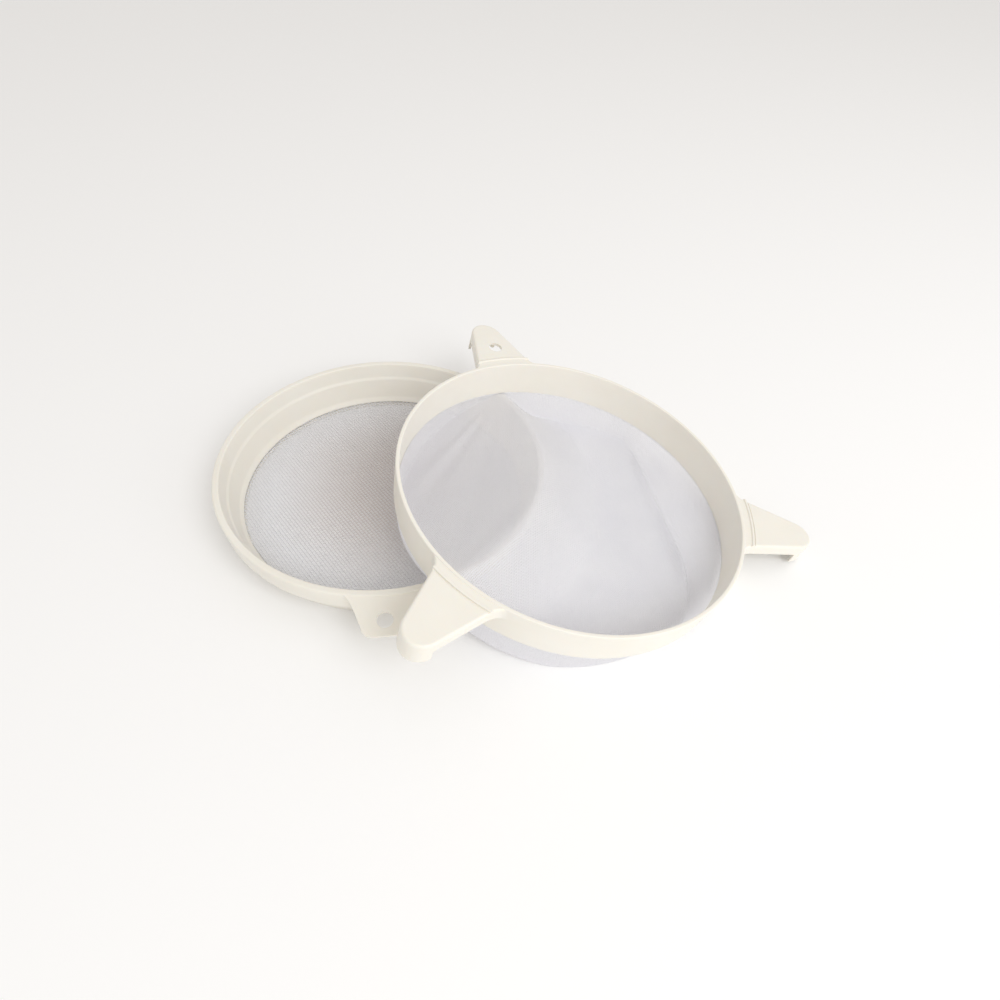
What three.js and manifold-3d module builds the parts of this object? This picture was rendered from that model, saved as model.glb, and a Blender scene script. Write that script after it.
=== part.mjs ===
// Double sieve strainer for honey: a coarse sieve lying flat on the table, and a finer sieve with
// three carrying arms that leans on its rim. Millimetres, +Z up, origin on the table under the
// middle of the pair.
import * as THREE from 'three';
import { mergeVertices } from 'three/addons/utils/BufferGeometryUtils.js';
import Module from 'manifold-3d';

const wasm = await Module();
wasm.setup();

// Coarse sieve
const COARSE_RADIUS = 120;
const COARSE_HEIGHT = 35;
const COARSE_MOUTH = 115.2;
const COARSE_SKIRT = 16;
const COARSE_STEP = 11.5;
const COARSE_WALL = 1.9;
const COARSE_SEAT = 104.6;
const COARSE_BASE = 108.4;
const COARSE_FOOT = 103.6;
const SEAT_SLOT = 2.4;
const SLOT_FLOOR = 2.4;
const SLOT_ROOF = 4;
const TAB_BEARING = -80.2;
const TAB_LENGTH = 25.4;
const TAB_ROOT = 21;
const TAB_TIP = 14;
const TAB_CORNER = 7;
const TAB_SLOPE = 13;
const TAB_THICKNESS = 2.6;
const TAB_HOLE = 5.2;
const TAB_HOLE_AT = 15;

// Fine sieve
const FINE_RADIUS = 125;
const FINE_HEIGHT = 28.6;
const FINE_MOUTH = 122.4;
const FINE_FOOT = 122.7;
const FINE_SEAT = 120.7;
const FINE_TILT = 10.94;
const FINE_CENTRE = new THREE.Vector3(140.3, -23.5, 52.9);

// Carrying arms, moulded in one with the fine ring
const ARM_BEARINGS = [-3.7, 116.3, -123.7];
const HOLED_ARM = 1;
const ARM_TIP = 176.4;
const ARM_NOSE = 162.8;
const ARM_NOSE_WIDTH = 12.4;
const ARM_ROOT = 131.5;
const ARM_ROOT_WIDTH = 21.2;
const ARM_FLARE = 14;
const ARM_TOP = -0.8;
const ARM_PLATE = 2.2;
const ARM_WALL = 2;
const ARM_SKIRT = 10;
const HOOK_DEPTH = 18;
const HOOK_START = 166.5;
const GROOVE_INNER = 131.5;
const GROOVE_OUTER = 132.8;
const GROOVE_FLOOR = -2.2;
const RIB_INNER = 130;
const HANG_HOLE = 5.3;
const HANG_HOLE_AT = 146;

// Cloths
const GAP = 0.3;
const CLOTH = 1;
const COARSE_DISH = 2.4;
const BAG_DEPTH = 25.5;
const BAG_RADIUS = 117;
const BAG_SEAM = 1.4;
const TENT_OUTSIDE = 1.3;
const TENT_INSIDE = 0.12;
const TENT_CREST = 6;

const SEGMENTS = 96;
const BAG_RINGS = 16;
const UP = 10;

const MATERIALS = {
  coarse_ring: { color: 0xf2ecda, roughness: 0.42, metalness: 0 },
  coarse_mesh: { color: 0xd9d3d3, roughness: 0.55, metalness: 0 },
  fine_ring: { color: 0xf4eedc, roughness: 0.4, metalness: 0 },
  fine_mesh_bag: { color: 0xe6e9f2, roughness: 0.6, metalness: 0 },
};

function radians(degrees) {
  return THREE.MathUtils.degToRad(degrees);
}

function polar(radius, degrees) {
  return [radius * Math.cos(radians(degrees)), radius * Math.sin(radians(degrees))];
}

// A closed geometry as a manifold solid, with its shared corners merged.
function solid(geometry) {
  const bare = geometry.clone();
  bare.deleteAttribute('normal');
  bare.deleteAttribute('uv');
  const merged = mergeVertices(bare, 1e-4);
  return new wasm.Manifold(new wasm.Mesh({
    numProp: 3,
    vertProperties: new Float32Array(merged.attributes.position.array),
    triVerts: new Uint32Array(merged.index.array),
  }));
}

function geometryOf(manifold) {
  const mesh = manifold.getMesh();
  const geometry = new THREE.BufferGeometry();
  geometry.setAttribute('position', new THREE.BufferAttribute(mesh.vertProperties, 3));
  geometry.setIndex(new THREE.BufferAttribute(mesh.triVerts, 1));
  geometry.computeVertexNormals();
  return geometry;
}

// A closed outline of radius and height turned about Z.
function turned(outline, curveSteps = 3) {
  const points = outline.getPoints(curveSteps);
  points.push(points[0].clone());
  return new THREE.LatheGeometry(points, SEGMENTS).rotateX(Math.PI / 2);
}

function extruded(shape, low, high) {
  const options = { depth: high - low, bevelEnabled: false, curveSegments: 10 };
  return new THREE.ExtrudeGeometry(shape, options).translate(0, 0, low);
}

function named(name, geometry) {
  const mesh = new THREE.Mesh(geometry, new THREE.MeshStandardMaterial(MATERIALS[name]));
  mesh.name = name;
  return mesh;
}

// Cored rim with a rounded outer edge, an inward step, and a cone down to the cloth's seat.
function coarseHoop() {
  const top = COARSE_HEIGHT;
  const skirtFoot = top - COARSE_SKIRT;
  const step = top - COARSE_STEP;
  const coreTop = top - 2.4;
  const path = new THREE.Path();
  path.moveTo(COARSE_FOOT, 0);
  path.lineTo(COARSE_BASE, 0);
  path.lineTo(COARSE_BASE + 3.6, skirtFoot);
  path.quadraticCurveTo(COARSE_BASE + 4, step - 2, COARSE_MOUTH - 1, step - 1);
  path.lineTo(COARSE_MOUTH + 1.2, coreTop);
  path.lineTo(COARSE_RADIUS - COARSE_WALL, coreTop);
  path.lineTo(COARSE_RADIUS - 1.6 - COARSE_WALL, skirtFoot);
  path.lineTo(COARSE_RADIUS - 1.6, skirtFoot);
  path.lineTo(COARSE_RADIUS, top - 2);
  path.quadraticCurveTo(COARSE_RADIUS, top, COARSE_RADIUS - 2.4, top);
  path.lineTo(COARSE_MOUTH + 0.6, top);
  path.quadraticCurveTo(COARSE_MOUTH, top, COARSE_MOUTH - 0.2, top - 0.8);
  path.lineTo(COARSE_MOUTH - 2.9, step + 0.8);
  path.quadraticCurveTo(COARSE_MOUTH - 3.2, step, COARSE_MOUTH - 4.6, step - 1.4);
  path.lineTo(COARSE_MOUTH - 8.2, 7.6);
  path.lineTo(COARSE_SEAT, SLOT_ROOF + 0.4);
  path.lineTo(COARSE_SEAT, SLOT_ROOF);
  path.lineTo(COARSE_SEAT + SEAT_SLOT, SLOT_ROOF);
  path.lineTo(COARSE_SEAT + SEAT_SLOT, SLOT_FLOOR);
  path.lineTo(COARSE_FOOT, SLOT_FLOOR);
  path.closePath();
  return solid(turned(path));
}

// The lifting tab, drawn with X outwards along its bearing, sloping down from the rim.
function coarseTab() {
  const rootAngle = 12.5;
  const inside = COARSE_RADIUS - 2.6;
  const tip = COARSE_RADIUS + TAB_LENGTH;
  const shape = new THREE.Shape();
  shape.moveTo(...polar(inside, -rootAngle));
  shape.lineTo(...polar(COARSE_RADIUS - 0.8, -rootAngle));
  shape.quadraticCurveTo(COARSE_RADIUS, -TAB_ROOT - 1, COARSE_RADIUS + 4, -TAB_ROOT + 0.6);
  shape.lineTo(tip - TAB_CORNER, -TAB_TIP - 1);
  shape.quadraticCurveTo(tip, -TAB_TIP, tip, -TAB_TIP + TAB_CORNER);
  shape.lineTo(tip, TAB_TIP - TAB_CORNER);
  shape.quadraticCurveTo(tip, TAB_TIP, tip - TAB_CORNER, TAB_TIP + 1);
  shape.lineTo(COARSE_RADIUS + 4, TAB_ROOT - 0.6);
  shape.quadraticCurveTo(COARSE_RADIUS, TAB_ROOT + 1, ...polar(COARSE_RADIUS - 0.8, rootAngle));
  shape.lineTo(...polar(inside, rootAngle));
  shape.absarc(0, 0, inside, radians(rootAngle), radians(-rootAngle), true);
  const hole = new THREE.Path();
  hole.absarc(COARSE_RADIUS + TAB_HOLE_AT, 0, TAB_HOLE, 0, 2 * Math.PI, true);
  shape.holes.push(hole);
  const geometry = extruded(shape, -TAB_THICKNESS, 0);
  geometry.translate(-COARSE_RADIUS, 0, 0);
  geometry.rotateY(radians(TAB_SLOPE));
  geometry.translate(COARSE_RADIUS, 0, COARSE_HEIGHT - 1);
  geometry.rotateZ(radians(TAB_BEARING));
  return solid(geometry);
}

// Woven disc held by its edge in the hoop's slot and sagging a little inside the foot.
function coarseMesh() {
  const edge = SLOT_ROOF - GAP;
  const low = edge - COARSE_DISH;
  const edgeRadius = COARSE_SEAT + SEAT_SLOT - 2 * GAP;
  const slope = COARSE_FOOT - 1;
  const path = new THREE.Path();
  path.moveTo(0, low - CLOTH);
  path.lineTo(slope - 26, low - CLOTH);
  path.quadraticCurveTo(slope - 7, low - CLOTH, slope, edge - CLOTH);
  path.lineTo(edgeRadius, edge - CLOTH);
  path.lineTo(edgeRadius, edge);
  path.lineTo(slope, edge);
  path.quadraticCurveTo(slope - 7, low, slope - 26, low);
  path.lineTo(0, low);
  return new THREE.LatheGeometry(path.getPoints(4), SEGMENTS).rotateX(Math.PI / 2);
}

// Plain conical hoop with a rounded rim, in the fine sieve's own frame with Z = 0 at the rim.
function fineHoop() {
  const path = new THREE.Path();
  path.moveTo(FINE_SEAT, -FINE_HEIGHT);
  path.lineTo(FINE_FOOT, -FINE_HEIGHT);
  path.lineTo(FINE_RADIUS, -1);
  path.quadraticCurveTo(FINE_RADIUS, 0, FINE_RADIUS - 1, 0);
  path.lineTo(FINE_MOUTH + 0.6, 0);
  path.quadraticCurveTo(FINE_MOUTH, 0, FINE_MOUTH, -0.6);
  path.closePath();
  return solid(turned(path));
}

// An arm's outline seen from above, X outwards, moved in by the given amount.
function armShape(inset) {
  const inside = FINE_RADIUS - 1.8 - 2 * inset;
  const flare = ARM_FLARE - inset / 2;
  const nose = radians(77);
  const shape = new THREE.Shape();
  shape.moveTo(...polar(inside, -flare));
  shape.lineTo(...polar(FINE_RADIUS - 0.4, -flare));
  shape.quadraticCurveTo(122.6, inset - 23.5, ARM_ROOT, inset - ARM_ROOT_WIDTH);
  shape.absellipse(ARM_NOSE, 0, ARM_TIP - ARM_NOSE - inset, ARM_NOSE_WIDTH - inset, -nose, nose);
  shape.lineTo(ARM_ROOT, ARM_ROOT_WIDTH - inset);
  shape.quadraticCurveTo(122.6, 23.5 - inset, ...polar(FINE_RADIUS - 0.4, flare));
  shape.lineTo(...polar(inside, flare));
  shape.absarc(0, 0, inside, radians(flare), radians(-flare), true);
  return shape;
}

// A ring of rectangular section about Z.
function band(inner, outer, low, high) {
  const path = new THREE.Path();
  path.moveTo(inner, low);
  path.lineTo(outer, low);
  path.lineTo(outer, high);
  path.lineTo(inner, high);
  path.closePath();
  return solid(turned(path));
}

// Plate with side skirts, a deep hooked nose, and a rib and groove across its root.
function arm(holed) {
  const outer = armShape(0);
  const inner = armShape(ARM_WALL);
  const under = ARM_TOP - ARM_PLATE;
  const plate = solid(extruded(outer, -ARM_SKIRT, ARM_TOP));
  const hollow = solid(extruded(inner, -HOOK_DEPTH - 1, under));
  const nose = new THREE.BoxGeometry(20, 40, HOOK_DEPTH).translate(HOOK_START + 10, 0, -HOOK_DEPTH / 2 - 1);
  const hook = solid(extruded(outer, -HOOK_DEPTH, -ARM_SKIRT + 1)).intersect(solid(nose));
  const rib = band(RIB_INNER, GROOVE_INNER, under, 0).intersect(solid(extruded(outer, under, 0)));
  const groove = band(GROOVE_INNER, GROOVE_OUTER, GROOVE_FLOOR, UP);
  let body = plate.add(hook).subtract(hollow).add(rib).subtract(groove);
  if (holed) {
    const bore = new THREE.CylinderGeometry(HANG_HOLE, HANG_HOLE, 20, 24).rotateX(Math.PI / 2);
    body = body.subtract(solid(bore.translate(HANG_HOLE_AT, 0, 0)));
  }
  return body;
}

function fineRing() {
  let ring = fineHoop();
  ARM_BEARINGS.forEach((bearing, index) => {
    ring = ring.add(arm(index === HOLED_ARM).rotate([0, 0, bearing]));
  });
  return geometryOf(ring);
}

const finePlace = new THREE.Matrix4().makeRotationY(radians(FINE_TILT)).setPosition(FINE_CENTRE);

// How low the cloth may hang over a point: the table, or the coarse rim it is propped on.
function support(x, y) {
  const rim = COARSE_HEIGHT + GAP + 0.3;
  const reach = Math.hypot(x, y);
  const outside = rim - TENT_OUTSIDE * Math.max(0, reach - COARSE_RADIUS - TENT_CREST);
  const inside = rim - TENT_INSIDE * Math.max(0, COARSE_MOUTH - TENT_CREST - reach);
  return Math.max(GAP, reach > COARSE_RADIUS ? outside : inside);
}

// A flat-bottomed pouch of cloth under the ring, propped up by the table and the coarse rim.
function fineBag() {
  const foot = -FINE_HEIGHT - BAG_DEPTH;
  const top = BAG_SEAM - FINE_HEIGHT;
  const edge = FINE_SEAT - GAP;
  const bottom = [];
  const upper = [];
  for (let ring = 0; ring <= BAG_RINGS; ring += 1) {
    const radius = BAG_RADIUS * ring / BAG_RINGS;
    bottom.push(new THREE.Vector2(radius, foot));
    upper.unshift(new THREE.Vector2(radius * (BAG_RADIUS - CLOTH) / BAG_RADIUS, foot + CLOTH));
  }
  const outside = [new THREE.Vector2(edge, 0.2 - FINE_HEIGHT), new THREE.Vector2(edge, top)];
  const inside = [new THREE.Vector2(edge - CLOTH, top), new THREE.Vector2(edge - CLOTH, 1 - FINE_HEIGHT)];
  const profile = [...bottom, ...outside, ...inside, ...upper];
  const geometry = new THREE.LatheGeometry(profile, SEGMENTS).rotateX(Math.PI / 2);
  const innerFrom = bottom.length + outside.length + inside.length;
  const places = geometry.attributes.position;
  const point = new THREE.Vector3();
  for (let index = 0; index < places.count; index += 1) {
    const along = index % profile.length;
    point.fromBufferAttribute(places, index).applyMatrix4(finePlace);
    if (along < bottom.length) {
      point.z = Math.max(point.z, support(point.x, point.y));
    }
    if (along >= innerFrom) {
      point.z = Math.max(point.z, support(point.x, point.y) + CLOTH);
    }
    places.setXYZ(index, point.x, point.y, point.z);
  }
  return geometry;
}

const coarseRing = coarseHoop().add(coarseTab());
const fineRingMesh = named('fine_ring', fineRing());
fineRingMesh.applyMatrix4(finePlace);

const strainer = new THREE.Group();
strainer.add(
  named('coarse_ring', geometryOf(coarseRing)),
  named('coarse_mesh', coarseMesh()),
  fineRingMesh,
  named('fine_mesh_bag', fineBag()),
);

// The origin is the middle of the pair's footprint.
const extent = new THREE.Box3().setFromObject(strainer, true);
const middle = extent.getCenter(new THREE.Vector3());
strainer.position.set(-middle.x, -middle.y, -extent.min.z);

export default strainer;
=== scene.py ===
import math

import bmesh
import bpy
import numpy as np
from mathutils import Matrix, Vector


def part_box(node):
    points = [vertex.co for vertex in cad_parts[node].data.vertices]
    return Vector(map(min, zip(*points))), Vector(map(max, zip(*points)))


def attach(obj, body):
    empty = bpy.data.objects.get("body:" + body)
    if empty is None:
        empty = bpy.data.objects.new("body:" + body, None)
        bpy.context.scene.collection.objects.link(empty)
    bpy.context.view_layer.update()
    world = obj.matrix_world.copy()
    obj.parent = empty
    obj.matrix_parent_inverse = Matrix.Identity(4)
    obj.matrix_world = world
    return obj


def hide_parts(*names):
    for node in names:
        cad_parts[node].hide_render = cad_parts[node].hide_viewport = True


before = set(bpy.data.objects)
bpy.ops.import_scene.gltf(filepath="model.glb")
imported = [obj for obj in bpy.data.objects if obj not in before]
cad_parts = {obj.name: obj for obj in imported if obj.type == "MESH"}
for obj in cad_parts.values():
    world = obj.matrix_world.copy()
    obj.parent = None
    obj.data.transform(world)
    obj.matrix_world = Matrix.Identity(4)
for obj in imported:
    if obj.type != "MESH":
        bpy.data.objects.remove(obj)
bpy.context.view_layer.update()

MM = 0.001
RING_STEPS = 224
CURVE_STEPS = 5
HOLE_STEPS = 48
SHARP_ANGLE = math.radians(32)
NOISE_ROUGHNESS = 0.55
THREAD_BLUR = 0.06

# Where the two sieves stand, from the CAD nodes' own boxes.
COARSE_RADIUS = 120 * MM
low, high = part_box("coarse_ring")
COARSE_AXIS = Vector((low[0] + COARSE_RADIUS, high[1] - COARSE_RADIUS, 0))
FINE_OFFSET = (140.3, -23.5, 52.9)
FINE_CENTRE = COARSE_AXIS + Vector(FINE_OFFSET) * MM
FINE_TILT = math.radians(10.94)
FINE_PLACE = Matrix.Translation(FINE_CENTRE) @ Matrix.Rotation(FINE_TILT, 4, "Y")

SENSOR_WIDTH = 36
LENS = 24.75
CAMERA_PLACE = COARSE_AXIS + Vector((88.35, -357.2, 393.7)) * MM
CAMERA_ELEVATION = math.radians(47.82)
CAMERA_ROLL = 0.064

STUDIO_AIM = Vector((0.03, 0, 0.02))
LIGHT_COLOUR = (0.97, 0.985, 1.0)
WORLD_COLOUR = (1.0, 0.972, 0.94, 1)
WORLD_STRENGTH = 0.73
FLOOR_REACH = 6


# ---------------------------------------------------------------- camera, light and floor

def make_camera():
    data = bpy.data.cameras.new("camera")
    data.sensor_width = SENSOR_WIDTH
    data.lens = LENS
    camera = bpy.data.objects.new("camera", data)
    bpy.context.collection.objects.link(camera)
    right = Vector((1, 0, 0))
    up = Vector((0, math.sin(CAMERA_ELEVATION), math.cos(CAMERA_ELEVATION)))
    ahead = Vector((0, math.cos(CAMERA_ELEVATION), -math.sin(CAMERA_ELEVATION)))
    turned_right = math.cos(CAMERA_ROLL) * right + math.sin(CAMERA_ROLL) * up
    turned_up = math.cos(CAMERA_ROLL) * up - math.sin(CAMERA_ROLL) * right
    turn = Matrix((turned_right, turned_up, -ahead)).transposed().to_4x4()
    camera.matrix_world = Matrix.Translation(CAMERA_PLACE) @ turn
    bpy.context.scene.camera = camera


def area_light(name, place, size, power):
    data = bpy.data.lights.new(name, "AREA")
    data.shape = "DISK"
    data.size = size
    data.energy = power
    data.color = LIGHT_COLOUR
    light = bpy.data.objects.new(name, data)
    bpy.context.collection.objects.link(light)
    place = Vector(place)
    facing = (STUDIO_AIM - place).to_track_quat("-Z", "Y").to_matrix().to_4x4()
    light.matrix_world = Matrix.Translation(place) @ facing


def make_studio():
    bpy.context.scene.view_settings.view_transform = "Standard"
    world = bpy.data.worlds.new("studio")
    bpy.context.scene.world = world
    world.use_nodes = True
    background = world.node_tree.nodes["Background"]
    background.inputs["Color"].default_value = WORLD_COLOUR
    background.inputs["Strength"].default_value = WORLD_STRENGTH
    area_light("key", place=(0.95, -1.2, 1.55), size=1.3, power=17)
    area_light("fill", place=(1.8, -0.9, 0.7), size=1.2, power=5)
    data = bpy.data.meshes.new("floor")
    signs = ((-1, -1), (1, -1), (1, 1), (-1, 1))
    corners = [(x * FLOOR_REACH, y * FLOOR_REACH, 0) for x, y in signs]
    data.from_pydata(corners, [], [(0, 1, 2, 3)])
    floor = bpy.data.objects.new("floor", data)
    bpy.context.collection.objects.link(floor)
    material, tree, shader = new_material("floor_paper")
    shader.inputs["Base Color"].default_value = (0.97, 0.97, 0.97, 1)
    shader.inputs["Roughness"].default_value = 0.9
    data.materials.append(material)


# ---------------------------------------------------------------- materials

def new_material(name):
    material = bpy.data.materials.new(name)
    material.use_nodes = True
    tree = material.node_tree
    return material, tree, tree.nodes["Principled BSDF"]


def math_node(tree, operation, *values):
    node = tree.nodes.new("ShaderNodeMath")
    node.operation = operation
    for socket, value in zip(node.inputs, values):
        if hasattr(value, "links"):
            tree.links.new(value, socket)
        else:
            socket.default_value = value
    return node.outputs[0]


def noise(tree, vector, scale, detail):
    node = tree.nodes.new("ShaderNodeTexNoise")
    node.inputs["Scale"].default_value = scale
    node.inputs["Detail"].default_value = detail
    node.inputs["Roughness"].default_value = NOISE_ROUGHNESS
    tree.links.new(vector, node.inputs["Vector"])
    return node.outputs["Fac"]


def ramp(tree, value, stops):
    """From one colour to another along a value: [(position, colour), (position, colour)]."""
    node = tree.nodes.new("ShaderNodeValToRGB")
    for element, (position, colour) in zip(node.color_ramp.elements, stops):
        element.position = position
        element.color = (*colour, 1)
    tree.links.new(value, node.inputs["Fac"])
    return node.outputs["Color"]


def object_place(tree):
    return tree.nodes.new("ShaderNodeTexCoord").outputs["Object"]


def bump(tree, height, strength, distance, normal=None):
    node = tree.nodes.new("ShaderNodeBump")
    node.inputs["Strength"].default_value = strength
    node.inputs["Distance"].default_value = distance
    tree.links.new(height, node.inputs["Height"])
    if normal is not None:
        tree.links.new(normal, node.inputs["Normal"])
    return node.outputs["Normal"]


def lit_through(tree, shader, tint, share, normal=None):
    """Mixes into a shader its share of light that passes through."""
    glow = tree.nodes.new("ShaderNodeBsdfTranslucent")
    tree.links.new(tint, glow.inputs["Color"])
    if normal is not None:
        tree.links.new(normal, glow.inputs["Normal"])
    mixed = tree.nodes.new("ShaderNodeMixShader")
    mixed.inputs["Fac"].default_value = share
    tree.links.new(shader.outputs["BSDF"], mixed.inputs[1])
    tree.links.new(glow.outputs["BSDF"], mixed.inputs[2])
    return mixed.outputs["Shader"]


def moulded_plastic(name, light, dark):
    """Ivory polypropylene: slightly cloudy colour, satin skin and a faint orange-peel surface."""
    material, tree, shader = new_material(name)
    place = object_place(tree)
    cloud = noise(tree, place, scale=22, detail=5)
    tree.links.new(ramp(tree, cloud, [(0.3, dark), (0.7, light)]), shader.inputs["Base Color"])
    skin = noise(tree, place, scale=60, detail=3)
    satin = math_node(tree, "MULTIPLY_ADD", skin, 0.22, 0.3)
    tree.links.new(satin, shader.inputs["Roughness"])
    grain = noise(tree, place, scale=900, detail=2)
    wave = noise(tree, place, scale=90, detail=2)
    broad = bump(tree, wave, strength=0.10, distance=0.0006)
    fine = bump(tree, grain, strength=0.10, distance=0.00012, normal=broad)
    tree.links.new(fine, shader.inputs["Normal"])
    shader.inputs["IOR"].default_value = 1.49
    shader.inputs["Subsurface Weight"].default_value = 0.12
    shader.inputs["Subsurface Radius"].default_value = (0.004, 0.003, 0.002)
    shader.inputs["Subsurface Scale"].default_value = 1.0
    return material


def monofilament(name, light, dark):
    """Nylon thread: glossy, lit through, and paler towards the hoop than in the middle, which is
    painted shade in the middle and painted light towards the hoop.
    """
    material, tree, shader = new_material(name)
    place = object_place(tree)
    # Painted shade and light: the colour is darker around a point just off the hoop's axis, near the
    # net's middle, and paler towards the hoop; the noise adds faint random patches.
    reach = tree.nodes.new("ShaderNodeVectorMath")
    reach.operation = "DISTANCE"
    reach.inputs[1].default_value = COARSE_AXIS + Vector((0.012, 0.01, 0.002))
    tree.links.new(place, reach.inputs[0])
    patches = noise(tree, place, scale=14, detail=3)
    patches_and_painted_shade = math_node(tree, "MULTIPLY_ADD", patches, 0.03, reach.outputs["Value"])
    tint = ramp(tree, patches_and_painted_shade, [(0.05, dark), (0.118, light)])
    tree.links.new(tint, shader.inputs["Base Color"])
    streak = noise(tree, place, scale=600, detail=2)
    tree.links.new(math_node(tree, "MULTIPLY_ADD", streak, 0.2, 0.25), shader.inputs["Roughness"])
    tree.links.new(bump(tree, streak, strength=0.2, distance=0.00005), shader.inputs["Normal"])
    shader.inputs["IOR"].default_value = 1.53
    fibre = lit_through(tree, shader, tint, share=0.45)
    tree.links.new(fibre, tree.nodes["Material Output"].inputs["Surface"])
    return material


def woven_net(name, pitch, cover, colour, shade, turn):
    """Plain-woven monofilament: two crossing sets of round threads with open holes between them."""
    material, tree, shader = new_material(name)
    flat = tree.nodes.new("ShaderNodeUVMap")
    flat.uv_map = "cloth"
    turned = tree.nodes.new("ShaderNodeMapping")
    turned.inputs["Rotation"].default_value = (0, 0, turn)
    tree.links.new(flat.outputs["UV"], turned.inputs["Vector"])
    parts = tree.nodes.new("ShaderNodeSeparateXYZ")
    tree.links.new(turned.outputs["Vector"], parts.inputs["Vector"])
    along = math_node(tree, "MULTIPLY", parts.outputs["X"], math.pi / pitch)
    across = math_node(tree, "MULTIPLY", parts.outputs["Y"], math.pi / pitch)
    warp = math_node(tree, "ABSOLUTE", math_node(tree, "SINE", along))
    weft = math_node(tree, "ABSOLUTE", math_node(tree, "SINE", across))
    over = math_node(tree, "MULTIPLY", math_node(tree, "COSINE", along),
                     math_node(tree, "COSINE", across))
    top = math_node(tree, "MAXIMUM", warp, weft)
    edge = math.cos(math.pi / 2 * cover)
    thread = tree.nodes.new("ShaderNodeMapRange")
    thread.inputs["From Min"].default_value = edge - THREAD_BLUR
    thread.inputs["From Max"].default_value = edge + THREAD_BLUR
    tree.links.new(top, thread.inputs["Value"])
    cloud = noise(tree, turned.outputs["Vector"], scale=30, detail=4)
    tint = ramp(tree, cloud, [(0.3, shade), (0.7, colour)])
    tree.links.new(tint, shader.inputs["Base Color"])
    rough = math_node(tree, "MULTIPLY_ADD", cloud, 0.2, 0.38)
    tree.links.new(rough, shader.inputs["Roughness"])
    lift = math_node(tree, "MULTIPLY_ADD", over, 0.35, top)
    normal = bump(tree, lift, strength=0.6, distance=pitch * 0.3)
    tree.links.new(normal, shader.inputs["Normal"])
    shader.inputs["Sheen Weight"].default_value = 0.15
    fibre = lit_through(tree, shader, tint, share=0.35, normal=normal)
    gap = tree.nodes.new("ShaderNodeBsdfTransparent")
    cloth = tree.nodes.new("ShaderNodeMixShader")
    tree.links.new(thread.outputs["Result"], cloth.inputs["Fac"])
    tree.links.new(gap.outputs["BSDF"], cloth.inputs[1])
    tree.links.new(fibre, cloth.inputs[2])
    tree.links.new(cloth.outputs["Shader"], tree.nodes["Material Output"].inputs["Surface"])
    return material


# ---------------------------------------------------------------- mesh helpers

def new_object(name, mesh):
    obj = bpy.data.objects.new(name, mesh)
    bpy.context.collection.objects.link(obj)
    return obj


def finish_mesh(work, name):
    bmesh.ops.recalc_face_normals(work, faces=work.faces)
    mesh = bpy.data.meshes.new(name)
    work.to_mesh(mesh)
    work.free()
    return new_object(name, mesh)


def soft_corners(points):
    """A closed profile of (radius, height, corner radius) with each corner rounded by a short curve."""
    result = []
    count = len(points)
    for index, (x, y, soft) in enumerate(points):
        here = Vector((x, y))
        if soft == 0:
            result.append(here)
            continue
        before = Vector(points[index - 1][:2])
        after = Vector(points[(index + 1) % count][:2])
        start = here + (before - here).normalized() * soft
        end = here + (after - here).normalized() * soft
        for step in range(CURVE_STEPS + 1):
            t = step / CURVE_STEPS
            result.append((1 - t) ** 2 * start + 2 * t * (1 - t) * here + t * t * end)
    return result


def turned(name, points):
    """A closed profile in millimetres turned about Z."""
    work = bmesh.new()
    profile = soft_corners(points)
    rings = []
    for step in range(RING_STEPS):
        angle = 2 * math.pi * step / RING_STEPS
        rings.append([
            work.verts.new((p.x * math.cos(angle) * MM, p.x * math.sin(angle) * MM, p.y * MM))
            for p in profile
        ])
    for step in range(RING_STEPS):
        here, there = rings[step], rings[(step + 1) % RING_STEPS]
        for index in range(len(profile)):
            after = (index + 1) % len(profile)
            work.faces.new((here[index], there[index], there[after], here[after]))
    return finish_mesh(work, name)


def stacked(name, levels):
    """A closed solid through outlines of equal length: [(outline, height), ...] in millimetres."""
    work = bmesh.new()
    rings = [[work.verts.new((x * MM, y * MM, z * MM)) for x, y in outline] for outline, z in levels]
    count = len(rings[0])
    for lower, upper in zip(rings, rings[1:]):
        for index in range(count):
            after = (index + 1) % count
            work.faces.new((lower[index], lower[after], upper[after], upper[index]))
    work.faces.new(list(reversed(rings[0])))
    work.faces.new(rings[-1])
    return finish_mesh(work, name)


def bake(obj):
    """Applies every modifier."""
    depsgraph = bpy.context.evaluated_depsgraph_get()
    mesh = bpy.data.meshes.new_from_object(obj.evaluated_get(depsgraph))
    obj.modifiers.clear()
    obj.data = mesh


def combine(target, tool, operation):
    cut = target.modifiers.new("combine", "BOOLEAN")
    cut.operation = operation
    cut.solver = "EXACT"
    cut.object = tool
    bake(target)
    bpy.data.objects.remove(tool)


def smooth(obj):
    obj.data.shade_smooth()
    obj.data.set_sharp_from_angle(angle=SHARP_ANGLE)
    weighted = obj.modifiers.new("weighted", "WEIGHTED_NORMAL")
    weighted.keep_sharp = True
    bake(obj)


def quadratic(start, bend, end, steps):
    """Points on a curve from start, which is left out, to end."""
    return [
        ((1 - t) ** 2 * start[0] + 2 * t * (1 - t) * bend[0] + t * t * end[0],
         (1 - t) ** 2 * start[1] + 2 * t * (1 - t) * bend[1] + t * t * end[1])
        for t in (step / steps for step in range(1, steps + 1))
    ]


def polar(radius, degrees):
    return radius * math.cos(math.radians(degrees)), radius * math.sin(math.radians(degrees))


def round_outline(centre, radius):
    """A hole's outline, its centre that far out along X."""
    angles = [2 * math.pi * step / HOLE_STEPS for step in range(HOLE_STEPS)]
    return [(centre + radius * math.cos(a), radius * math.sin(a)) for a in angles]


def moved(obj, place):
    obj.data.transform(place)
    obj.data.update()


# ---------------------------------------------------------------- coarse sieve

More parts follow.
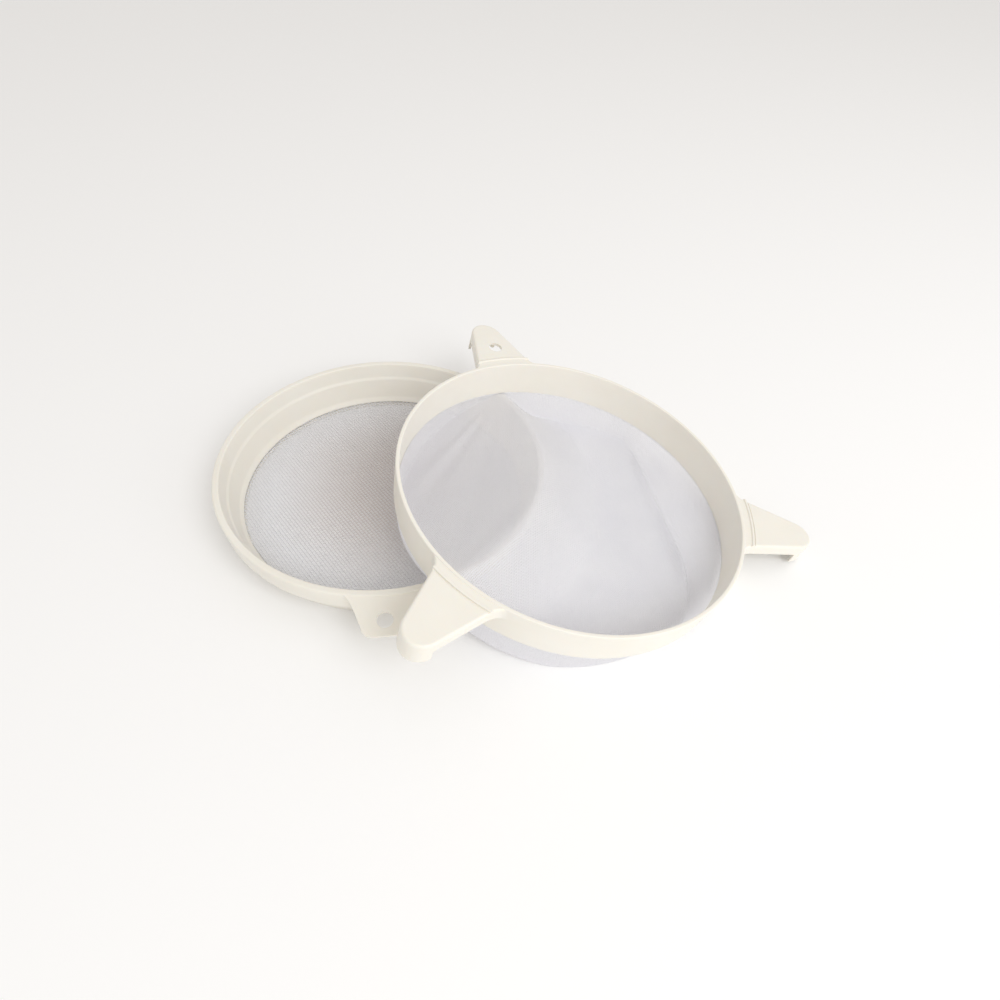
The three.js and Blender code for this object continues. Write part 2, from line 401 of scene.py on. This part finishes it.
COARSE_PROFILE = [
    (103.6, 0, 0.4), (108.4, 0, 0.5), (112, 19, 1.5), (113.6, 22, 1.2), (116.2, 30.4, 1.2),
    (116.8, 32.2, 0.8), (117.6, 32.2, 0.6), (116.5, 19, 0.25), (118.4, 19, 0.4), (120, 35.1, 1.7),
    (115.2, 35.1, 0.9), (112.3, 24.5, 0.7), (110.9, 22.4, 0.7), (107.0, 7.6, 1.2), (104.6, 4.0, 0.2),
    (104.6, 3.3, 0), (107, 3.3, 0), (107, 2.4, 0), (103.6, 2.4, 0.2),
]
TAB_TIP = 145.4
TAB_INSIDE = 117.4
TAB_SHOULDER = 119.2
TAB_SPREAD = 12.5
TAB_ROOT_HALF = 21
TAB_HALF = 14
TAB_CORNER = 7
TAB_LEVELS = [(0.5, -2.6), (0.12, -2.45), (0, -2.1), (0, -0.5), (0.12, -0.15), (0.5, 0)]
TAB_HOLE_AT = 135.0
TAB_HOLE = 5.2
TAB_SLOPE = math.radians(13)
TAB_BEARING = math.radians(-80.2)
TAB_PIVOT = (120 * MM, 0, 34 * MM)


def tab_outline(inset):
    """The lifting tab seen from above, X outwards."""
    tip = TAB_TIP - inset
    root = TAB_ROOT_HALF - inset
    half = TAB_HALF - inset
    corner = TAB_CORNER - inset / 2
    shoulder = polar(TAB_SHOULDER, -TAB_SPREAD)
    one_side = [polar(TAB_INSIDE, -TAB_SPREAD), shoulder]
    one_side += quadratic(shoulder, (120, -root - 1), (124, -root + 0.6), 8)
    one_side.append((tip - corner, -half - 1))
    one_side += quadratic((tip - corner, -half - 1), (tip, -half), (tip, -half + corner), 8)
    arc = [polar(TAB_INSIDE, TAB_SPREAD - step * TAB_SPREAD / 5) for step in range(1, 10)]
    return one_side + [(x, -y) for x, y in reversed(one_side)] + arc


def make_coarse_ring(plastic):
    """The coarse sieve's rim, wall and foot ring with its sloping tab."""
    ring = turned("coarse_hoop", COARSE_PROFILE)
    tab = stacked("tab", [(tab_outline(inset), z) for inset, z in TAB_LEVELS])
    bore = round_outline(TAB_HOLE_AT, TAB_HOLE)
    combine(tab, stacked("bore", [(bore, -8), (bore, 8)]), "DIFFERENCE")
    slope = Matrix.Translation(TAB_PIVOT) @ Matrix.Rotation(TAB_SLOPE, 4, "Y")
    slope = slope @ Matrix.Translation((-TAB_PIVOT[0], 0, 0))
    moved(tab, Matrix.Rotation(TAB_BEARING, 4, "Z") @ slope)
    combine(ring, tab, "UNION")
    moved(ring, Matrix.Translation(COARSE_AXIS))
    smooth(ring)
    ring.data.materials.append(plastic)
    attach(ring, "coarse_sieve")
    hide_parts("coarse_ring")


NET_RADIUS = 106.0
NET_PITCH = 2.3
NET_THREAD = 0.33
NET_TURN = math.radians(42)
NET_LEVEL = 3.2
NET_DISH = 2.35
DISH_FROM = 102.6
DISH_REACH = 24


def net_height(x, y):
    """The coarse net's mid-surface: level in its slot, then dished inside the foot ring."""
    t = min(1, max(0, (DISH_FROM - math.hypot(x, y)) / DISH_REACH))
    return NET_LEVEL - NET_DISH * (1 - (1 - t) ** 2)


def make_coarse_net(net):
    """Plain-woven round threads, each passing over and under the ones it crosses."""
    points = []
    faces = []
    count = int(NET_RADIUS / NET_PITCH)
    for direction in (0, 1):
        along = Vector(polar(1, math.degrees(NET_TURN) + 90 * direction))
        across = Vector((-along.y, along.x))
        for line in range(-count, count + 1):
            offset = line * NET_PITCH
            half = math.sqrt(max(0, NET_RADIUS ** 2 - offset ** 2))
            steps = int(half / NET_PITCH * 2)
            if steps < 2:
                continue
            first = len(points)
            for step in range(-steps, steps + 1):
                place = along * (step * NET_PITCH / 2) + across * offset
                wave = math.cos(math.pi * step / 2) * (-1) ** (line + direction)
                middle = net_height(place.x, place.y) + NET_THREAD * wave
                for side, rise in ((1, 0), (0, 1), (-1, 0), (0, -1)):
                    points.append((
                        (place.x + across.x * side * NET_THREAD) * MM,
                        (place.y + across.y * side * NET_THREAD) * MM,
                        (middle + rise * NET_THREAD) * MM))
            for step in range(2 * steps):
                here = first + 4 * step
                for side in range(4):
                    after = (side + 1) % 4
                    faces.append((here + side, here + after, here + 4 + after, here + 4 + side))
            last = first + 8 * steps
            faces.append((first + 3, first + 2, first + 1, first))
            faces.append((last, last + 1, last + 2, last + 3))
    mesh = bpy.data.meshes.new("coarse_net")
    mesh.from_pydata(points, [], faces)
    threads = new_object("coarse_net", mesh)
    moved(threads, Matrix.Translation(COARSE_AXIS))
    mesh.shade_smooth()
    mesh.materials.append(net)
    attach(threads, "coarse_sieve")
    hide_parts("coarse_mesh")


# ---------------------------------------------------------------- fine sieve

FINE_PROFILE = [
    (120.7, -28.6, 0.5), (122.8, -28.6, 0.5), (125, -0.1, 1.0), (122.3, -0.1, 0.8),
]
ARM_BEARINGS = (-3.7, 116.3, -123.7)
HOLED_ARM = 1
ARM_SKIRT = [
    (0.35, -10), (0, -9.6), (0, -2.6), (0.15, -1.95), (0.5, -1.35), (1.1, -0.97), (1.9, -0.8),
]
ARM_HOLLOW = [(1.9, -25), (2.0, -4.0), (2.4, -3.2), (3.0, -3.0)]
HOOK_LEVELS = [(0.4, -18), (0.1, -17.8), (0, -17.4), (0, -9)]
ARM_INSIDE = 123.4
ARM_HOLLOW_INSIDE = 122.6
ARM_FLARE = 14
ARM_ROOT = 131.5
ARM_ROOT_HALF = 21.2
ARM_NOSE_AT = 162.8
ARM_NOSE_LENGTH = 13.58
ARM_NOSE_HALF = 12.4
HOOK_START = 166.5
HANG_HOLE_AT = 146
HANG_HOLE = 5.3


def arm_outline(inset, inside=ARM_INSIDE):
    """A carrying arm seen from above, X outwards, moved in by inset."""
    flare = ARM_FLARE - inset / 2
    shoulder = polar(124.6, -flare)
    one_side = [polar(inside, -flare), shoulder]
    one_side += quadratic(shoulder, (122.6, inset - 23.5), (ARM_ROOT, inset - ARM_ROOT_HALF), 12)
    for step in range(13):
        angle = math.radians(-77 + 77 * step / 13)
        one_side.append((
            ARM_NOSE_AT + (ARM_NOSE_LENGTH - inset) * math.cos(angle),
            (ARM_NOSE_HALF - inset) * math.sin(angle)))
    nose = [(ARM_NOSE_AT + ARM_NOSE_LENGTH - inset, 0)]
    arc = [polar(inside, flare - step * flare / 5) for step in range(1, 10)]
    return one_side + nose + [(x, -y) for x, y in reversed(one_side)] + arc


def make_arm(holed):
    """A hollow arm with its hook, and the rib and groove at its root."""
    arm = stacked("arm", [(arm_outline(inset), z) for inset, z in ARM_SKIRT])
    hook = stacked("hook", [(arm_outline(inset), z) for inset, z in HOOK_LEVELS])
    keep = [(HOOK_START, -20), (190, -20), (190, 20), (HOOK_START, 20)]
    combine(hook, stacked("keep", [(keep, -30), (keep, 5)]), "INTERSECT")
    combine(arm, hook, "UNION")
    inner = [(arm_outline(inset, ARM_HOLLOW_INSIDE), z) for inset, z in ARM_HOLLOW]
    combine(arm, stacked("hollow", inner), "DIFFERENCE")
    rib = turned("rib", [
        (129.6, -3, 0), (ARM_ROOT, -3, 0), (ARM_ROOT, 0, 0.5), (130, 0, 0.5), (129.6, -1.2, 0),
    ])
    fence = stacked("fence", [(arm_outline(0.1), -4), (arm_outline(0.1), 1)])
    combine(rib, fence, "INTERSECT")
    combine(arm, rib, "UNION")
    groove = [(ARM_ROOT, -1.5, 0.3), (132.6, -1.5, 0.3), (133.0, 6, 0), (ARM_ROOT, 6, 0)]
    combine(arm, turned("groove", groove), "DIFFERENCE")
    if holed:
        bore = round_outline(HANG_HOLE_AT, HANG_HOLE)
        combine(arm, stacked("bore", [(bore, -8), (bore, 4)]), "DIFFERENCE")
    return arm


def make_fine_ring(plastic):
    """The fine sieve's hoop with its three arms, one of them with a hanging hole."""
    ring = turned("fine_hoop", FINE_PROFILE)
    for index, bearing in enumerate(ARM_BEARINGS):
        arm = make_arm(index == HOLED_ARM)
        moved(arm, Matrix.Rotation(math.radians(bearing), 4, "Z"))
        combine(ring, arm, "UNION")
    moved(ring, FINE_PLACE)
    smooth(ring)
    ring.data.materials.append(plastic)
    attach(ring, "fine_sieve")
    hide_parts("fine_ring")


# ---------------------------------------------------------------- pouch

BAG_SPOKES = 288
WALL_STEPS = 24
DISC_STEPS = 48
FOOT_ROW = WALL_STEPS + 1
BAG_DEPTH = 25.5
BAG_FOOT = 117.2
HOOP_FOOT = -28.6
SEAM = (120.35, -28.3)
SEAM_TOP = (120.4, -27.4)
SEAM_ALLOWANCE = 1

# What the cloth lies on: the table, and the coarse rim with its bowl inside.
CLOTH_REST = 0.5
RIM_REST = 36.1
RIM_OUTSIDE = 120.3
RIM_CREST = 117.5
RIM_INSIDE = 114.8
DRAPE_REACH = 15
DRAPE_POWER = 1.1
BOWL_SLOPE = 0.13

# The fold on the low side.
FOLD_BEARING = 13.4
FOLD_REACH = 84
FOLD_HALF_TURN = 70
FOLD_SOFT = (30, 8)
SLACK_SPAN = 22.0
LOW_CORNER = -24
LOW_CORNER_SPREAD = 15
SAG = 1.3
LOW_SAG = 1.2
FOLD_HEIGHT = 4.2
LOW_FOLD_HEIGHT = 4.6
FOLD_INWARD = 6.0
FOLD_OUTWARD = 1.3
FOLD_POWER = 1.4
WALL_ROW = 1.2
RIPPLE_HEIGHT = 0.8
RIPPLE_RATE = 0.24
RIPPLE_REACH = 30
BACK_PULL = 0.75
FRONT_PULL = 0.5

# The height field that the pouch's bottom settles to.
GRID_STEP = 2.0
GRID_X = (6, 268)
GRID_Y = (-156, 108)
SETTLED_REACH = 162
SETTLE_ROUNDS = 500
SOFTEN_ROUNDS = 2


def ease(low_end, high_end, value):
    """From 0 at one end to 1 at the other, level at both."""
    t = np.clip((value - low_end) / (high_end - low_end), 0, 1)
    return t * t * (3 - 2 * t)


def wrapped(degrees):
    """The same bearing, from -180 to 180."""
    return (degrees + 180) % 360 - 180


def floor_under(x, y):
    """How low the cloth may hang, in millimetres: the table, or the coarse rim that it lies over."""
    reach = np.hypot(x, y)
    past = np.maximum(0, reach - RIM_OUTSIDE)
    outside = CLOTH_REST + (RIM_REST - CLOTH_REST) * np.exp(-(past / DRAPE_REACH) ** DRAPE_POWER)
    inside = RIM_REST - BOWL_SLOPE * np.maximum(0, RIM_INSIDE - reach)
    return np.where(reach > RIM_CREST, outside, inside)


def fold_reach(bearing):
    """How far out the pouch's foot lies: the slack on the low side is pulled in to a straight fold."""
    from_fold = wrapped(bearing - FOLD_BEARING)
    turn = np.radians(np.clip(from_fold, -FOLD_HALF_TURN, FOLD_HALF_TURN))
    chord = FOLD_REACH / np.cos(turn)
    soft = np.where(from_fold < 0, *FOLD_SOFT)
    near = np.maximum(soft - np.abs(chord - BAG_FOOT), 0) / soft
    return np.minimum(chord, BAG_FOOT) - near * near * soft / 4


def slack_at(bearing):
    """From 0, where the cloth is taut, to 1, where it is folded."""
    return ease(0.0, SLACK_SPAN, BAG_FOOT - fold_reach(bearing))


def low_corner(bearing):
    """How near a bearing is to the fold's lower end, from 0 to 1."""
    return np.exp(-(wrapped(bearing - LOW_CORNER) / LOW_CORNER_SPREAD) ** 2)


def neighbours(z):
    """The sum of the four heights around each one."""
    return np.roll(z, 1, 0) + np.roll(z, -1, 0) + np.roll(z, 1, 1) + np.roll(z, -1, 1)


def settled_height(middle):
    """The pouch's bottom as a height field: a slack skin over the table and the coarse rim."""
    across = np.arange(*GRID_X, GRID_STEP)
    along = np.arange(*GRID_Y, GRID_STEP)
    x, y = np.meshgrid(across, along, indexing="ij")
    least = floor_under(x, y)
    hanging = middle[2] - (x - middle[0]) * math.tan(FINE_TILT)
    z = np.maximum(hanging, least)
    under_bag = np.hypot(x - middle[0], y - middle[1]) < BAG_FOOT - 1
    loose = under_bag & (np.hypot(x, y) < SETTLED_REACH)
    for _ in range(SETTLE_ROUNDS):
        z = np.where(loose, np.maximum(neighbours(z) / 4, least), z)
    for _ in range(SOFTEN_ROUNDS):
        z = (z * 4 + neighbours(z)) / 8

    def height(px, py):
        u, v = (px - GRID_X[0]) / GRID_STEP, (py - GRID_Y[0]) / GRID_STEP
        i, j = u.astype(int), v.astype(int)
        u, v = u - i, v - j
        near = z[i, j] * (1 - v) + z[i, j + 1] * v
        far = z[i + 1, j] * (1 - v) + z[i + 1, j + 1] * v
        return near * (1 - u) + far * u

    return height


def bag_surface():
    """Rows of points from the seam to the pouch's middle, and their flat cloth distances."""
    bearing = 360 * np.arange(BAG_SPOKES) / BAG_SPOKES
    cos, sin = np.cos(np.radians(bearing)), np.sin(np.radians(bearing))
    tilt = np.array(Matrix.Rotation(FINE_TILT, 3, "Y"))
    centre = np.array(FINE_OFFSET)

    def ringed(radius, height):
        level = np.full(BAG_SPOKES, height)
        return np.stack((radius * cos, radius * sin, level), 1) @ tilt.T + centre

    seam = ringed(*SEAM)
    foot = ringed(BAG_FOOT, HOOP_FOOT - BAG_DEPTH)
    middle = ringed(0, HOOP_FOOT - BAG_DEPTH)
    height = settled_height(middle[0])
    pull = (fold_reach(bearing) / BAG_FOOT)[:, None]
    foot[:, :2] = middle[:, :2] + (foot[:, :2] - middle[:, :2]) * pull
    foot[:, 2] = height(foot[:, 0], foot[:, 1])
    rows = [ringed(*SEAM_TOP), seam]
    away = [BAG_FOOT + BAG_DEPTH + SEAM_ALLOWANCE, BAG_FOOT + BAG_DEPTH]
    sag = 1 + (SAG + LOW_SAG * low_corner(bearing)) * slack_at(bearing)
    for step in range(1, WALL_STEPS + 1):
        t = step / WALL_STEPS
        wall = seam + (foot - seam) * t
        wall[:, 2] = foot[:, 2] + (seam[:, 2] - foot[:, 2]) * (1 - t) ** sag
        wall[:, 2] = np.maximum(wall[:, 2], floor_under(wall[:, 0], wall[:, 1]))
        rows.append(wall)
        away.append(BAG_FOOT + BAG_DEPTH * (1 - t))
    for step in range(1, DISC_STEPS):
        t = step / DISC_STEPS
        disc = foot + (middle - foot) * t
        disc[:, 2] = height(disc[:, 0], disc[:, 1])
        rows.append(disc)
        away.append(BAG_FOOT * (1 - t))
    return np.array(rows), np.array(away), bearing


def pull_fan(x, y, anchor, heading, spread, near, far):
    """Pull lines fanning out from an anchor: their strength at each point, and its angle."""
    dx, dy = x - anchor[0], y - anchor[1]
    reach = np.hypot(dx, dy)
    turn = np.degrees(np.arctan2(dy, dx))
    strength = np.exp(-(wrapped(turn - heading) / spread) ** 2)
    strength *= ease(*near, reach) * (1 - ease(*far, reach))
    return strength, np.radians(turn)


def crease(rows, bearing):
    """The standing fold on the low side and the pull lines that run from the propping rim."""
    x, y = rows[..., 0], rows[..., 1]
    index = np.arange(len(rows))[:, None]
    slack = slack_at(bearing)[None, :]
    from_foot = (index - FOOT_ROW) * np.where(index > FOOT_ROW, BAG_FOOT / DISC_STEPS, WALL_ROW)

    width = np.where(from_foot > 0, FOLD_INWARD, FOLD_OUTWARD)
    sharp = np.exp(-(np.abs(from_foot) / width) ** FOLD_POWER)
    lift = slack * sharp * (FOLD_HEIGHT + LOW_FOLD_HEIGHT * low_corner(bearing)[None, :])
    wall = np.clip(-from_foot, 0, RIPPLE_REACH)
    lift += slack * RIPPLE_HEIGHT * np.sin(wall * RIPPLE_RATE) ** 2 * (wall > 0)

    fan, turn = pull_fan(x, y, (84.0, 84.0), heading=-132, spread=26, near=(6, 40), far=(95, 150))
    pulls = np.sin(turn * 23) + 0.5 * np.sin(turn * 39 + 1.3)
    lift += BACK_PULL * fan * pulls * ease(3, 16, np.abs(from_foot))

    fan, turn = pull_fan(x, y, (60, -100), heading=35, spread=30, near=(6, 30), far=(60, 130))
    lift += FRONT_PULL * fan * (np.sin(turn * 16) + 1)

    lift[:2] = 0
    lift *= ease(1, 7, index)
    rows[..., 2] = np.maximum(rows[..., 2] + lift, floor_under(x, y))


def make_bag(net):
    """The pouch as one sheet, from its seam to its middle, with its flat cut as the UV map."""
    rows, away, bearing = bag_surface()
    crease(rows, bearing)
    work = bmesh.new()
    layer = work.loops.layers.uv.new("cloth")
    rings = [[work.verts.new(Vector(point) * MM) for point in row] for row in rows]
    flat = {}
    for ring, reach in zip(rings, away):
        for vert, angle in zip(ring, bearing):
            flat[vert] = [value * MM for value in polar(reach, angle)]
    for outer, inner in zip(rings, rings[1:]):
        for index in range(BAG_SPOKES):
            after = (index + 1) % BAG_SPOKES
            work.faces.new((outer[index], outer[after], inner[after], inner[index]))
    middle = work.verts.new(Vector(rows[-1].mean(axis=0)) * MM)
    flat[middle] = (0.0, 0.0)
    for index in range(BAG_SPOKES):
        work.faces.new((rings[-1][index], rings[-1][(index + 1) % BAG_SPOKES], middle))
    for face in work.faces:
        for loop in face.loops:
            loop[layer].uv = flat[loop.vert]
    bag = finish_mesh(work, "fine_pouch")
    moved(bag, Matrix.Translation(COARSE_AXIS))
    bag.data.shade_smooth()
    bag.data.materials.append(net)
    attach(bag, "fine_sieve")
    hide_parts("fine_mesh_bag")


# ---------------------------------------------------------------- the whole

make_camera()
make_studio()
ivory = moulded_plastic("ivory_plastic", light=(0.885, 0.856, 0.787), dark=(0.86, 0.826, 0.748))
# The coarse thread's dark colour is painted shade for the net's middle, and its light colour is painted
# light towards the hoop.
coarse_weave = monofilament("coarse_thread", light=(0.98, 0.98, 1.0), dark=(0.88, 0.832, 0.815))
fine_weave = woven_net(
    "fine_weave", pitch=1.2 * MM, cover=0.62,
    colour=(0.95, 0.95, 0.985), shade=(0.915, 0.915, 0.96), turn=0.73)
make_coarse_ring(ivory)
make_coarse_net(coarse_weave)
make_fine_ring(ivory)
make_bag(fine_weave)
